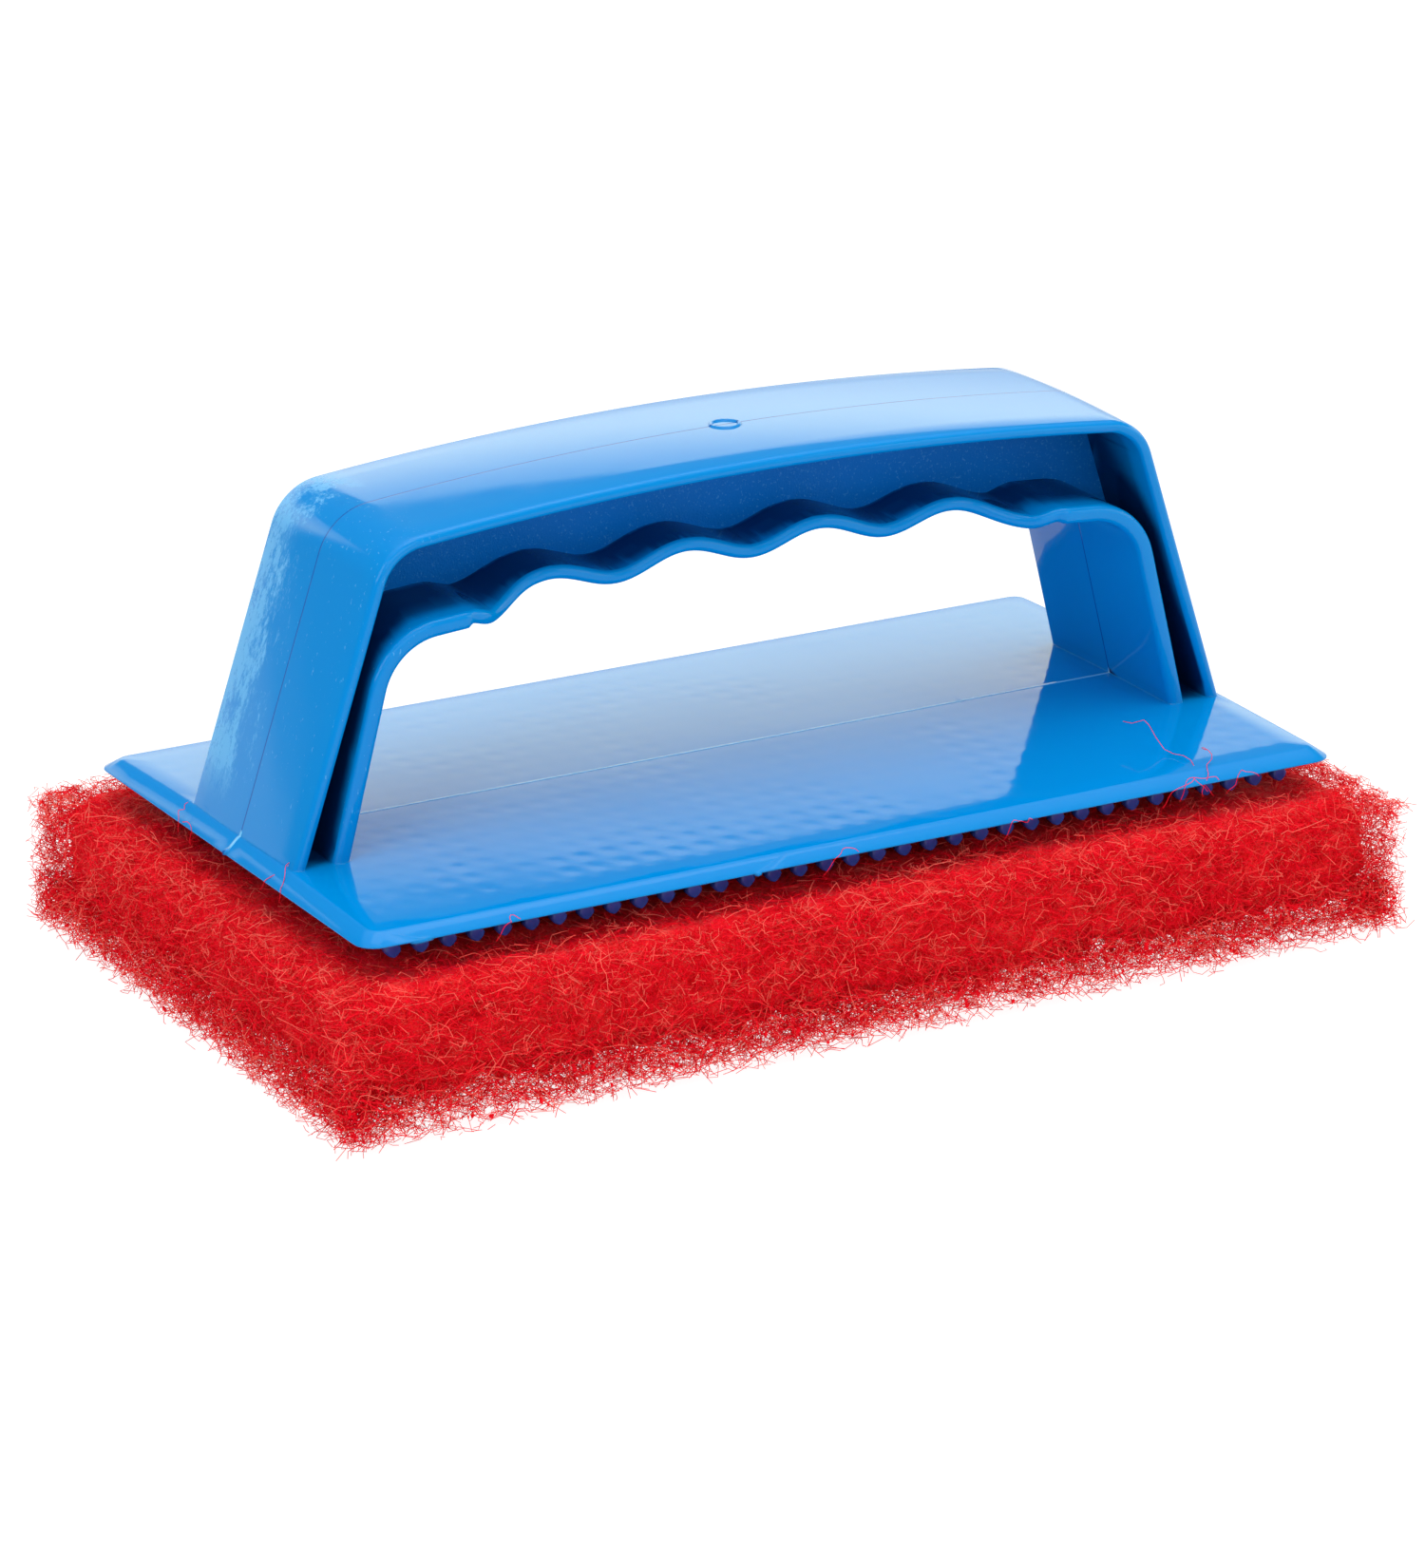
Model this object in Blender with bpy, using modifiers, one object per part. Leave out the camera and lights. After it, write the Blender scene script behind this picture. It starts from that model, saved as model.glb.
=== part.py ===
"""A hand scrubber for pool walls: a one-piece moulded holder pressed onto a lofty scouring pad.

Metres, +Z up. The origin is the middle of the pad's working face, and X runs along the length.
The holder is one injection moulding: a bevelled plate, an I-section handle and anchor studs.
Its studs hook into the pad, which pulls straight off them.
"""

import math

import bmesh
import bpy

# Plate
PLATE_LENGTH = 0.160
PLATE_WIDTH = 0.086
PLATE_THICK = 0.0026
PLATE_BEVEL = 0.0024
PLATE_CORNER = 0.0030
PLATE_LIP = 0.0003
PLATE_GAP = 0.0030  # from the pad's rim up to the plate's underside

# Pad
PAD_RIM_X = 0.008  # how far the pad reaches past the plate at each end
PAD_RIM_Y = 0.009  # and at each side
PAD_HEIGHT = 0.0234
PAD_CORNER = 0.006
PAD_EDGE = 0.003

# Anchor studs
STUD_LENGTH = 0.0035
STUD_STEM = 0.0017
STUD_HEAD = 0.0029
STUD_DEPTH = 0.0016
STUD_PITCH_X = 0.0043
STUD_PITCH_Y = 0.0042
STUD_SETBACK = 0.0036  # from the plate's edge to the outermost stud
STUD_CLEAR = 0.0003  # between a stud and the pocket that it presses into the pad
POCKET_SIDE = 0.0008

# Handle, with heights above the plate's top
HANDLE_WIDTH = 0.033
HANDLE_ROUND = 0.0009
OUTER_FOOT_INSET = 0.0024  # from the plate's lower edge to the outer flange's foot
OUTER_LEAN = math.radians(18.2)
OUTER_HEIGHT = 0.0489
OUTER_TOP_RADIUS = 0.540
OUTER_SHOULDER = 0.009
OUTER_WALL = 0.0023
INNER_FOOT_INSET = 0.0111
INNER_LEAN = math.radians(14.3)
INNER_HEIGHT = 0.0330
INNER_TOP_RADIUS = 0.700
INNER_SHOULDER = 0.0095
INNER_WALL = 0.0021
WEB_THICK = 0.0024

# Finger grip: the inner flange is narrower there, and waved
FINGERS = 4
FINGER_PITCH = 0.0222
FINGER_DEPTH = 0.00135
GRIP_WIDTH = 0.0208
GRIP_MARGIN = 0.0032  # straight run at each end of the waves
LEG_STEP = 0.0003  # a leg's flange stands this far proud of the grip's on both faces

EMBED = 0.0012  # how far the legs and studs run into the plate

PAD_LENGTH = PLATE_LENGTH + 2 * PAD_RIM_X
PAD_WIDTH = PLATE_WIDTH + 2 * PAD_RIM_Y
PLATE_UNDER = PAD_HEIGHT + PLATE_GAP
PLATE_TOP = PLATE_UNDER + PLATE_THICK
GRIP_REACH = FINGERS * FINGER_PITCH / 2


def new_collection(name):
    collection = bpy.data.collections.new(name)
    bpy.context.scene.collection.children.link(collection)
    return collection


def new_material(name, colour, roughness):
    material = bpy.data.materials.new(name)
    material.use_nodes = True
    shader = material.node_tree.nodes["Principled BSDF"]
    shader.inputs["Base Color"].default_value = (*colour, 1)
    shader.inputs["Roughness"].default_value = roughness
    shader.inputs["Metallic"].default_value = 0.0
    return material


def box(name, length, width, height, corner, collection):
    """A block standing on z = 0 with its upright corners rounded."""
    bpy.ops.mesh.primitive_cube_add(size=1)
    block = bpy.context.active_object
    block.name = name
    bm = bmesh.new()
    bm.from_mesh(block.data)
    for vert in bm.verts:
        vert.co.x *= length
        vert.co.y *= width
        vert.co.z = (vert.co.z + 0.5) * height
    upright = [e for e in bm.edges if abs(e.verts[0].co.z - e.verts[1].co.z) > 1e-6]
    bmesh.ops.bevel(bm, geom=upright, offset=corner, segments=5, profile=0.5, affect="EDGES")
    bm.to_mesh(block.data)
    bm.free()
    for old in block.users_collection:
        old.objects.unlink(block)
    collection.objects.link(block)
    return block


def bevel(obj, width, segments, angle=40):
    modifier = obj.modifiers.new("rounded edges", "BEVEL")
    modifier.width = width
    modifier.segments = segments
    modifier.limit_method = "ANGLE"
    modifier.angle_limit = math.radians(angle)


def extrusion(name, outline, width, collection):
    """A solid whose outline lies in the XZ plane, centred on y = 0."""
    curve = bpy.data.curves.new(name, "CURVE")
    curve.dimensions = "2D"
    curve.fill_mode = "BOTH"
    curve.extrude = width / 2
    spline = curve.splines.new("POLY")
    spline.points.add(len(outline) - 1)
    for point, (x, z) in zip(spline.points, outline):
        point.co = (x, z, 0, 1)
    spline.use_cyclic_u = True
    flat = bpy.data.objects.new(name, curve)
    collection.objects.link(flat)
    flat.rotation_euler.x = math.radians(90)
    graph = bpy.context.evaluated_depsgraph_get()
    mesh = bpy.data.meshes.new_from_object(flat.evaluated_get(graph))
    mesh.transform(flat.matrix_world)
    bm = bmesh.new()
    bm.from_mesh(mesh)
    bmesh.ops.remove_doubles(bm, verts=bm.verts, dist=1e-6)
    bmesh.ops.dissolve_limit(bm, angle_limit=0.001, verts=bm.verts, edges=bm.edges)
    bmesh.ops.recalc_face_normals(bm, faces=bm.faces)
    bm.to_mesh(mesh)
    bm.free()
    bpy.data.objects.remove(flat, do_unlink=True)
    bpy.data.curves.remove(curve)
    solid = bpy.data.objects.new(name, mesh)
    collection.objects.link(solid)
    return solid


def arch(foot, lean, height, top_radius, shoulder, steps):
    """An arch's points, left foot to right foot: a leaning leg, a shoulder arc and a top arc."""
    centre_z = height - top_radius
    up = (-math.sin(lean), math.cos(lean))
    inward = (-math.cos(lean), -math.sin(lean))
    # The shoulder's centre slides up the leg until its arc touches the top arc from inside.
    x0, z0 = foot + shoulder * inward[0], shoulder * inward[1] - centre_z
    b = x0 * up[0] + z0 * up[1]
    c = x0 * x0 + z0 * z0 - (top_radius - shoulder) ** 2
    rise = -b + math.sqrt(b * b - c)
    bend_x, bend_z = x0 + rise * up[0], z0 + rise * up[1] + centre_z
    end = math.atan2(bend_z - centre_z, bend_x)
    leg, bend, top = steps
    half = []
    for k in range(leg):
        along = -EMBED + (rise + EMBED) * k / leg
        half.append((foot + along * up[0], along * up[1]))
    for k in range(bend):
        angle = lean + (end - lean) * k / bend
        half.append((bend_x + shoulder * math.cos(angle), bend_z + shoulder * math.sin(angle)))
    for k in range(top + 1):
        angle = end + (math.pi / 2 - end) * k / top
        half.append((top_radius * math.cos(angle), centre_z + top_radius * math.sin(angle)))
    return [(-x, z) for x, z in half] + [(x, z) for x, z in reversed(half[:-1])]


def offset(path, distance):
    """The path moved outwards, away from the finger gap."""
    moved = []
    for i, (x, z) in enumerate(path):
        ax, az = path[max(i - 1, 0)]
        bx, bz = path[min(i + 1, len(path) - 1)]
        length = math.hypot(bx - ax, bz - az)
        moved.append((x - (bz - az) / length * distance, z + (bx - ax) / length * distance))
    return moved


def band(path, low, high):
    """A closed outline that follows a path from one offset to another."""
    return offset(path, low) + list(reversed(offset(path, high)))


def waved(path):
    """The finger hollows pressed up into the grip, fading out past the last one."""
    shaped = []
    for x, z in path:
        if z > INNER_HEIGHT / 2:
            past = min(1.0, max(0.0, (abs(x) - GRIP_REACH) / GRIP_MARGIN))
            wave = math.cos(2 * math.pi * x / FINGER_PITCH) if past == 0 else 1.0
            z -= FINGER_DEPTH * wave * (1 - past)
        shaped.append((x, z))
    return shaped


def make_plate(collection):
    """The bevelled plate. Its origin is the middle of its top face."""
    plate = box("holder", PLATE_LENGTH, PLATE_WIDTH, PLATE_THICK, PLATE_CORNER, collection)
    for vert in plate.data.vertices:
        if vert.co.z > PLATE_THICK / 2:
            vert.co.x -= math.copysign(PLATE_BEVEL, vert.co.x)
            vert.co.y -= math.copysign(PLATE_BEVEL, vert.co.y)
        vert.co.z -= PLATE_THICK
    bevel(plate, PLATE_LIP, 2)
    plate.location.z = PLATE_TOP
    return plate


def make_handle(collection):
    """The handle's members: two flanges, the legs' wider inner flanges and the web."""
    outer = arch(
        PLATE_LENGTH / 2 - OUTER_FOOT_INSET, OUTER_LEAN, OUTER_HEIGHT,
        OUTER_TOP_RADIUS, OUTER_SHOULDER, (3, 7, 14),
    )  # fmt: skip
    inner = waved(
        arch(
            PLATE_LENGTH / 2 - INNER_FOOT_INSET, INNER_LEAN, INNER_HEIGHT,
            INNER_TOP_RADIUS, INNER_SHOULDER, (3, 7, 34),
        )
    )  # fmt: skip
    outer_flange = extrusion("outer_flange", band(outer, -OUTER_WALL, 0), HANDLE_WIDTH, collection)
    bevel(outer_flange, HANDLE_ROUND, 2, 60)
    grip_flange = extrusion("grip_flange", band(inner, 0, INNER_WALL), GRIP_WIDTH, collection)
    bevel(grip_flange, HANDLE_ROUND, 2, 60)
    members = [outer_flange, grip_flange]
    leg_end = GRIP_REACH + GRIP_MARGIN / 2
    for side, name in ((-1, "left_leg_flange"), (1, "right_leg_flange")):
        leg = [(x, z) for x, z in inner if x * side > leg_end]
        outline = band(leg, -LEG_STEP, INNER_WALL + LEG_STEP)
        member = extrusion(name, outline, HANDLE_WIDTH, collection)
        bevel(member, HANDLE_ROUND, 2, 60)
        members.append(member)
    web_outline = offset(inner, INNER_WALL / 2) + list(reversed(offset(outer, -OUTER_WALL / 2)))
    members.append(extrusion("web", web_outline, WEB_THICK, collection))
    return members


def stud_counts():
    """How many stud places there are each side of the middle, along and across the plate."""
    along = (PLATE_LENGTH / 2 - STUD_SETBACK - STUD_HEAD / 2) / STUD_PITCH_X
    across = (PLATE_WIDTH / 2 - STUD_SETBACK - STUD_DEPTH / 2) / STUD_PITCH_Y
    return int(along), int(across)


def make_studs(collection):
    """The outermost ring of anchor studs, each with a barbed head, as one group."""
    stem, head = STUD_STEM / 2, STUD_HEAD / 2
    side = (
        (stem, EMBED),
        (stem, -0.50 * STUD_LENGTH),
        (head, -0.42 * STUD_LENGTH),
        (0.93 * head, -0.78 * STUD_LENGTH),
        (0.45 * head, -STUD_LENGTH),
    )
    outline = [*side, *((-x, z) for x, z in reversed(side))]
    stud = extrusion("stud", outline, STUD_DEPTH, collection)
    along, across = stud_counts()
    bm = bmesh.new()
    for i in range(-along, along + 1):
        for j in range(-across, across + 1):
            if abs(i) < along and abs(j) < across:
                continue
            before = len(bm.verts)
            bm.from_mesh(stud.data)
            bm.verts.ensure_lookup_table()
            place = (i * STUD_PITCH_X, j * STUD_PITCH_Y, -PLATE_THICK)
            bmesh.ops.translate(bm, verts=bm.verts[before:], vec=place)
    bm.to_mesh(stud.data)
    bm.free()
    stud.name = "studs"
    return stud


def make_holder(parts, helpers):
    holder = make_plate(parts)
    for member in [*make_handle(helpers), make_studs(helpers)]:
        member.parent = holder
        member.hide_render = True
        member.display_type = "WIRE"
        union = holder.modifiers.new(member.name, "BOOLEAN")
        union.operation = "UNION"
        union.solver = "EXACT"
        union.object = member
    return holder


def make_pad(parts, helpers):
    """The pad, with the shallow pocket that the studs press into its top."""
    pad = box("pad", PAD_LENGTH, PAD_WIDTH, PAD_HEIGHT, PAD_CORNER, parts)
    bevel(pad, PAD_EDGE, 3)
    along, across = stud_counts()
    length = 2 * along * STUD_PITCH_X + STUD_HEAD + 2 * (STUD_CLEAR + POCKET_SIDE)
    width = 2 * across * STUD_PITCH_Y + STUD_DEPTH + 2 * (STUD_CLEAR + POCKET_SIDE)
    pocket = box("stud_pocket", length, width, PAD_HEIGHT, 2 * POCKET_SIDE, helpers)
    pocket.location.z = PLATE_UNDER - STUD_LENGTH - STUD_CLEAR
    pocket.hide_render = True
    pocket.display_type = "WIRE"
    cut = pad.modifiers.new("stud pocket", "BOOLEAN")
    cut.operation = "DIFFERENCE"
    cut.solver = "EXACT"
    cut.object = pocket
    return pad


def main():
    for obj in list(bpy.data.objects):
        bpy.data.objects.remove(obj, do_unlink=True)
    parts = new_collection("pool_wall_scrubber")
    helpers = new_collection("cutters")
    frame = bpy.data.objects.new("working_face_centre", None)
    parts.objects.link(frame)
    pieces = (
        (make_holder(parts, helpers), new_material("blue_moulding", (0.0, 0.19, 0.62), 0.25)),
        (make_pad(parts, helpers), new_material("red_fibre", (0.55, 0.01, 0.03), 0.8)),
    )
    for piece, material in pieces:
        piece.data.materials.clear()
        piece.data.materials.append(material)
        piece.parent = frame


main()
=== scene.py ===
# %% [markdown]
# # A hand scrubber for pool walls
# The object is two real pieces: a blue holder, moulded in one shot, and a thick red scouring pad
# that hooks onto the studs under it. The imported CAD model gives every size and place. This
# lesson builds the fine surfaces over it: rounded flanges, moulding marks and loose fibres.

# %% Load the frame
import math

import bmesh
import bpy
from mathutils import Matrix, Vector, noise
from mathutils.bvhtree import BVHTree


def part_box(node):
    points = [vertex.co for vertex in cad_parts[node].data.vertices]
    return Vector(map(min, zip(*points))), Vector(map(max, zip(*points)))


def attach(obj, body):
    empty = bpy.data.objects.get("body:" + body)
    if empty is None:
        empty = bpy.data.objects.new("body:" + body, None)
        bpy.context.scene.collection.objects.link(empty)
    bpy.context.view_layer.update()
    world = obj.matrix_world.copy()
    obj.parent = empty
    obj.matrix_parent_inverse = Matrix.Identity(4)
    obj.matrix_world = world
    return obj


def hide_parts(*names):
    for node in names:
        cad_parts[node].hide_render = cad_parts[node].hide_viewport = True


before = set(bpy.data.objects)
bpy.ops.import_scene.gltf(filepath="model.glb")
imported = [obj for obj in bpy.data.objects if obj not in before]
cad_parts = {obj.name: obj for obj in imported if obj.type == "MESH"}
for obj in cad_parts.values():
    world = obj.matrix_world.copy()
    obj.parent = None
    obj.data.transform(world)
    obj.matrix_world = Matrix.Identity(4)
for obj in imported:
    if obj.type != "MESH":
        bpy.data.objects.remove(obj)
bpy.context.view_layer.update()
holder_low, holder_high = (Vector(corner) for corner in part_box("holder"))
pad_low, pad_high = (Vector(corner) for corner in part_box("pad"))
print("holder from", holder_low, "to", holder_high)
print("pad from", pad_low, "to", pad_high)

# %% [markdown]
# ## Sizes
# The boxes give the overall sizes. The walls, radii and pitches below are the holder's own
# design values, the same as the CAD's. Everything is in metres.

# %% Sizes of the holder
MM = 0.001
PLATE_HALF_X = (holder_high.x - holder_low.x) / 2
PLATE_HALF_Y = (holder_high.y - holder_low.y) / 2
STUD_LENGTH = 3.5 * MM
PLATE_THICK = 2.6 * MM
PLATE_UNDER = holder_low.z + STUD_LENGTH
PLATE_TOP = PLATE_UNDER + PLATE_THICK
PLATE_BEVEL = 2.4 * MM
PLATE_BOW = 0.9 * MM
HANDLE_HALF = 16.5 * MM
WEB_THICK = 2.4 * MM
FINGERS = 4
FINGER_PITCH = 22.2 * MM
FINGER_DEPTH = 1.35 * MM
GRIP_HALF = 10.4 * MM
GRIP_REACH = FINGERS * FINGER_PITCH / 2
EMBED = 1.2 * MM
print("plate top at", round(PLATE_TOP, 5), "handle top at", round(holder_high.z, 5))


# %% [markdown]
# ## Camera
# A long lens from the front left, a little above the handle. The camera comes first, so that
# every later choice of detail can be judged through it.

# %% Camera
def linked(name, data):
    """A new object of this data, in the scene."""
    made = bpy.data.objects.new(name, data)
    bpy.context.scene.collection.objects.link(made)
    return made


LENS = 150.8
VIEW = Vector((0.46962, 0.81480, -0.33994)).normalized()
VIEW_RIGHT = Vector((0.86721, -0.49792, 0.00457)).normalized()
VIEW_FROM = (-0.45218, -0.78305, PLATE_TOP + 0.32095)


def add_camera():
    data = bpy.data.cameras.new("camera")
    data.lens = LENS
    data.clip_start = 0.05
    data.clip_end = 20
    camera = linked("camera", data)
    up = VIEW_RIGHT.cross(VIEW)
    turn = Matrix((VIEW_RIGHT, up, -VIEW)).transposed().to_4x4()
    camera.matrix_world = Matrix.Translation(VIEW_FROM) @ turn
    bpy.context.scene.camera = camera
    return camera


camera = add_camera()
print("camera at", camera.location)


# %% [markdown]
# ## A small kit for shader graphs
# Each finish is a graph of nodes. These helpers add a node and wire it in one line, so that the
# finishes below read like a recipe.

# %% Shader helpers
def wire(tree, socket, value):
    """Links an output to the socket, or sets the socket to a plain value."""
    if hasattr(value, "is_output"):
        tree.links.new(value, socket)
    else:
        socket.default_value = value


def add_node(tree, kind, inputs, settings):
    node = tree.nodes.new(kind)
    for key, value in settings.items():
        setattr(node, key, value)
    for key, value in dict(inputs).items():
        wire(tree, node.inputs[key], value)
    return node


class Graph:
    """A node tree and short ways to add to it."""

    def __init__(self, tree):
        self.tree = tree

    def add(self, kind, inputs=(), **settings):
        return add_node(self.tree, "ShaderNode" + kind, inputs, settings)

    def math(self, operation, a, b=0.0, c=0.0):
        inputs, settings = {0: a, 1: b, 2: c}, {"operation": operation}
        return add_node(self.tree, "ShaderNodeMath", inputs, settings).outputs[0]

    def plus(self, a, b):
        return self.math("ADD", a, b)

    def minus(self, a, b):
        return self.math("SUBTRACT", a, b)

    def times(self, a, b):
        return self.math("MULTIPLY", a, b)

    def remap(self, value, low, high, out_low=0.0, out_high=1.0):
        inputs = {0: value, 1: low, 2: high, 3: out_low, 4: out_high}
        return self.add("MapRange", inputs, interpolation_type="SMOOTHSTEP").outputs[0]


class Finish(Graph):
    """A material on the object's own coordinates."""

    def __init__(self, name):
        self.material = bpy.data.materials.new(name)
        self.material.use_nodes = True
        super().__init__(self.material.node_tree)
        self.shader = self.tree.nodes["Principled BSDF"]
        self.coordinates = self.tree.nodes.new("ShaderNodeTexCoord")

    def vector(self, operation, inputs):
        return self.add("VectorMath", inputs, operation=operation).outputs[0]

    def position(self):
        return self.coordinates.outputs["Object"]

    def axes(self):
        return self.add("SeparateXYZ", {0: self.position()}).outputs

    def scaled(self, x, y, z):
        return self.add("Mapping", {"Vector": self.position(), "Scale": (x, y, z)}).outputs[0]

    def noise(self, scale, detail=3.0, roughness=0.5, vector=None):
        inputs = {"Vector": vector or self.position(), "Scale": scale}
        inputs.update({"Detail": detail, "Roughness": roughness})
        return self.add("TexNoise", inputs).outputs["Fac"]

    def mix(self, amount, a, b):
        node = self.add("Mix", data_type="RGBA")
        colour_inputs = [s for s in node.inputs if s.type == "RGBA"]
        for socket, value in zip([node.inputs[0], *colour_inputs], (amount, a, b)):
            wire(self.tree, socket, value)
        return next(s for s in node.outputs if s.type == "RGBA")

    def bump(self, height, normal=None):
        """Height in metres, raised as it is."""
        inputs = {"Height": height, "Strength": 1.0, "Distance": 1.0}
        if normal is not None:
            inputs["Normal"] = normal
        return self.add("Bump", inputs).outputs[0]

    def set(self, **sockets):
        for key, value in sockets.items():
            wire(self.tree, self.shader.inputs[key.replace("_", " ")], value)
        return self.material


# %% [markdown]
# ## Blue moulding
# The holder is glossy polypropylene. A moulding shows how it was made: shallow sinks over each
# stud, a witness line where the two halves of the mould met, slight flow waves, and fine rubs
# from handling. All of these are shallow, so they live in the bump and the roughness. A Bevel
# node rounds the crease where two walls meet, as the mould's own radius does. The colour paints
# light too: a pale painted sheen over the rubs, a painted highlight along the plate's bead, and
# painted shade that turns the deep slots navy, where a cavity attribute, made later, says the
# holder blocks its own light.

# %% Blue moulding
STUD_PITCH_X = 4.3 * MM
STUD_PITCH_Y = 4.2 * MM
BLUE = (0.0, 0.225, 0.61, 1)
# Pale blue for the rubs' painted sheen and for the web's painted glints.
BLUE_RUB_AND_PAINTED_SHEEN = (0.13, 0.46, 0.80, 1)
BLUE_LINE = (0.0, 0.07, 0.34, 1)
BLUE_BEAD_PAINTED_HIGHLIGHT = (0.16, 0.55, 0.90, 1)
# Navy for the painted shade in the deep slots.
BLUE_PAINTED_SHADE_NAVY = (0.0, 0.010, 0.085, 1)


def moulding_heights(finish):
    """Stud sinks on the plate, the witness line, and the mould's slow waves, as one height."""
    x, y, z = finish.axes()
    near_top = finish.math("ABSOLUTE", finish.minus(z, PLATE_TOP - PLATE_BOW / 2))
    on_plate = finish.remap(near_top, 0.8 * MM, 1.4 * MM, 1.0, 0.0)
    waves = []
    for axis, pitch in ((x, STUD_PITCH_X), (y, STUD_PITCH_Y)):
        turn = finish.times(axis, 2 * math.pi / pitch)
        waves.append(finish.math("MULTIPLY_ADD", finish.math("COSINE", turn), 0.5, 0.5))
    sink = finish.times(finish.times(*waves), on_plate)
    uneven = finish.remap(finish.noise(55, 2.0), 0.35, 0.65, -0.002 * MM, -0.010 * MM)
    sink = finish.times(sink, uneven)
    off_line = finish.math("ABSOLUTE", y)
    bead = finish.remap(off_line, 0.10 * MM, 0.42 * MM, 0.08 * MM, 0.0)
    bead = finish.times(bead, on_plate)
    groove = finish.remap(off_line, 0.02 * MM, 0.14 * MM, -0.007 * MM, 0.0)
    slow = finish.times(finish.noise(45, 1.5), 0.05 * MM)
    total = finish.plus(finish.plus(sink, bead), finish.plus(groove, slow))
    return total, off_line, on_plate, x, y, z


def rub_and_painted_sheen_amounts(finish, x, y, z):
    """Mottled rubs on the left leg's outer face, denser at its back edge, and small specks.
    They roughen the face, and their pale colour is a painted sheen.
    """
    leg = finish.remap(x, -0.052, -0.058)
    above = finish.remap(z, PLATE_TOP + 1 * MM, PLATE_TOP + 9 * MM)
    face = finish.times(leg, above)
    grain = finish.noise(1.0, 6.0, 0.8, finish.scaled(1500, 1300, 420))
    patch = finish.noise(1.0, 3.0, 0.6, finish.scaled(260, 230, 60))
    edge = finish.remap(y, -4 * MM, 15 * MM, 0.0, 0.24)
    smear = finish.math("MULTIPLY_ADD", patch, 0.45, finish.times(grain, 0.62))
    smear = finish.remap(finish.plus(smear, edge), 0.66, 0.80)
    specks = finish.noise(1.0, 2.0, 0.6, finish.scaled(1900, 1500, 700))
    specks = finish.times(finish.remap(specks, 0.66, 0.73), 0.5)
    both = finish.math("MAXIMUM", smear, specks)
    return finish.times(both, face)


# Painted shade: mixes the colour towards navy where the cavity attribute says the holder blocks its
# own light.
def paint_shade_in_cavities(finish, colour, start, end, most):
    cavity = finish.add("Attribute", attribute_name="cavity").outputs["Fac"]
    return finish.mix(finish.remap(cavity, start, end, 0.0, most), colour, BLUE_PAINTED_SHADE_NAVY)


def make_blue_moulding():
    finish = Finish("blue_moulding")
    height, off_line, on_plate, x, y, z = moulding_heights(finish)
    specks = finish.times(finish.noise(2600, 2.0), 0.0012 * MM)
    round_edge = finish.add("Bevel", {"Radius": 0.35 * MM}, samples=6).outputs[0]
    normal = finish.bump(finish.plus(height, specks), normal=round_edge)
    rub_and_sheen = rub_and_painted_sheen_amounts(finish, x, y, z)
    # The rubs' pale colour is a painted sheen. Their added roughness below is real.
    colour = finish.mix(finish.times(rub_and_sheen, 0.75), BLUE, BLUE_RUB_AND_PAINTED_SHEEN)
    off_plate = finish.minus(1.0, on_plate)
    line = finish.remap(off_line, 0.08 * MM, 0.19 * MM, 0.9, 0.0)
    colour = finish.mix(finish.times(line, off_plate), colour, BLUE_LINE)
    # A painted highlight along the bead on the plate.
    bead = finish.remap(off_line, 0.18 * MM, 0.36 * MM, 0.9, 0.0)
    colour = finish.mix(finish.times(bead, on_plate), colour, BLUE_BEAD_PAINTED_HIGHLIGHT)
    # Painted shade in the deep slots.
    colour = paint_shade_in_cavities(finish, colour, 0.53, 0.82, 0.93)
    haze = finish.remap(finish.noise(130, 4.0, 0.6), 0.35, 0.75, 0.05, 0.09)
    rough = finish.math("MULTIPLY_ADD", rub_and_sheen, 0.30, haze)
    return finish.set(
        Base_Color=colour, Roughness=rough, Normal=normal, IOR=1.5, Specular_IOR_Level=0.2,
        Subsurface_Weight=0.10, Subsurface_Radius=(0.1, 0.5, 1.0), Subsurface_Scale=0.8 * MM,
    )  # fmt: skip


blue_moulding = make_blue_moulding()
print("finish", blue_moulding.name)


# %% [markdown]
# ## Spark-textured recess
# The web between the flanges isn't polished: its mould face was spark-eroded, so it has a fine
# even grain with tiny glints. A darker blue, which paints the shade of the deep web, with a fine
# bump and a higher roughness does it, and the glints are painted highlights in its colour.

# %% Spark-textured recess
def make_spark_texture():
    finish = Finish("spark_textured_blue")
    grain = finish.noise(2300, 3.0, 0.7)
    pits = finish.add("TexVoronoi", {"Vector": finish.position(), "Scale": 3200.0}).outputs[0]
    height = finish.times(finish.plus(grain, pits), 0.035 * MM)
    # Painted glints over a darker blue, which is painted shade for the recessed web.
    painted_glints = finish.remap(finish.noise(2900, 1.0), 0.62, 0.75, 0.0, 1.0)
    colour = finish.mix(finish.times(painted_glints, 0.22), (0, 0.15, 0.56, 1), BLUE_RUB_AND_PAINTED_SHEEN)
    return finish.set(
        Base_Color=colour, Roughness=0.40, Normal=finish.bump(height), IOR=1.5,
        Specular_IOR_Level=0.08,
    )  # fmt: skip


spark_texture = make_spark_texture()
print("finish", spark_texture.name)


# %% [markdown]
# ## Plate
# The plate is a thin slab whose four sides slope. It bows a little, as a thin moulding does when
# it cools, so its edges sit lower than its middle. It is lofted from rings: each ring is a
# rectangle with round corners, a little larger and lower than the one before.

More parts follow.
